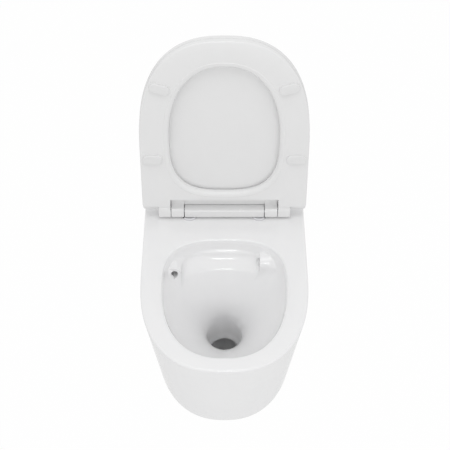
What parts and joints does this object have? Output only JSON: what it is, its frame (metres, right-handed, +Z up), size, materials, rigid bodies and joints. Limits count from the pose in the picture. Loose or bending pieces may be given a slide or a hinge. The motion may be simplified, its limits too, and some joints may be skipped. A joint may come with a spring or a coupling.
{
  "type": "wall hung toilet",
  "caption": "Rimless wall hung toilet pan with a soft-close seat and lid on a lift-off hinge bar, wall fixings and flush inlet seal.",
  "frame": {"origin": "midway between the two wall bolts, on the wall plane", "axes": "+Z up, +Y into the wall, the front faces -Y, +X to the right seen from the front"},
  "size_m": [0.361, 0.5132, 0.7894],
  "materials": {
    "china": "white vitreous glaze",
    "seat_plastic": "satin white urea plastic",
    "buffer_rubber": "soft white",
    "hinge_plastic": "satin white",
    "bright_metal": "polished",
    "steel": "machined",
    "damper_grey": "fine matt",
    "black_rubber": "matt",
    "brass": "turned",
    "fixing_plastic": "fine matt"
  },
  "bodies": {
    "base": {"pan": "china", "pan_back_inlet": "china", "pan_back_left": "china", "pan_back_right": "china", "inlet_seal": "black_rubber", "fixing_sleeve_left": "fixing_plastic", "fixing_sleeve_right": "fixing_plastic", "fixing_bush_left": "fixing_plastic", "fixing_bush_right": "fixing_plastic", "fixing_screw_left": "steel", "fixing_screw_right": "steel", "side_cap_left": "fixing_plastic", "side_cap_right": "fixing_plastic", "hinge_disc_left": "bright_metal", "hinge_disc_right": "bright_metal", "hinge_post_left": "steel", "hinge_post_right": "steel", "expansion_plug_left": "black_rubber", "expansion_plug_right": "black_rubber", "expansion_cone_left": "brass", "expansion_cone_right": "brass"},
    "hinge": {"hinge_bar": "hinge_plastic", "hinge_bar_cover": "hinge_plastic", "hinge_cover_screw": "steel", "seat_damper": "damper_grey", "lid_damper": "damper_grey"},
    "button_left": {"release_button_left": "hinge_plastic"},
    "button_right": {"release_button_right": "hinge_plastic"},
    "lid": {"lid_shell": "seat_plastic", "lid_buffer_left": "buffer_rubber", "lid_buffer_right": "buffer_rubber", "lid_hinge_bush": "damper_grey", "lid_drive_sleeve": "steel"},
    "seat": {"seat_ring": "seat_plastic", "seat_buffer_rear_left": "buffer_rubber", "seat_buffer_rear_right": "buffer_rubber", "seat_buffer_front_left": "buffer_rubber", "seat_buffer_front_right": "buffer_rubber", "seat_hinge_pin_left": "steel", "seat_hinge_pin_right": "steel"}
  },
  "joints": [
    {"name": "hinge_bar_lift", "type": "slide", "parent": "base", "child": "hinge", "axis": [0, 0, 1], "range_m": [0, 0.06]},
    {"name": "lid_hinge", "type": "hinge", "parent": "hinge", "child": "lid", "pos_m": [0, -0.078, 0.101], "axis": [-1, 0, 0], "range_deg": [-96, 0]},
    {"name": "seat_hinge", "type": "hinge", "parent": "lid", "child": "seat", "pos_m": [0, -0.078, 0.101], "axis": [1, 0, 0], "range_deg": [0, 96]},
    {"name": "button_press_left", "type": "slide", "parent": "hinge", "child": "button_left", "axis": [0, -1, 0], "range_m": [0, 0.0018], "stiffness_N_per_m": 500},
    {"name": "button_press_right", "type": "slide", "parent": "hinge", "child": "button_right", "axis": [0, -1, 0], "range_m": [0, 0.0018], "stiffness_N_per_m": 500}
  ]
}
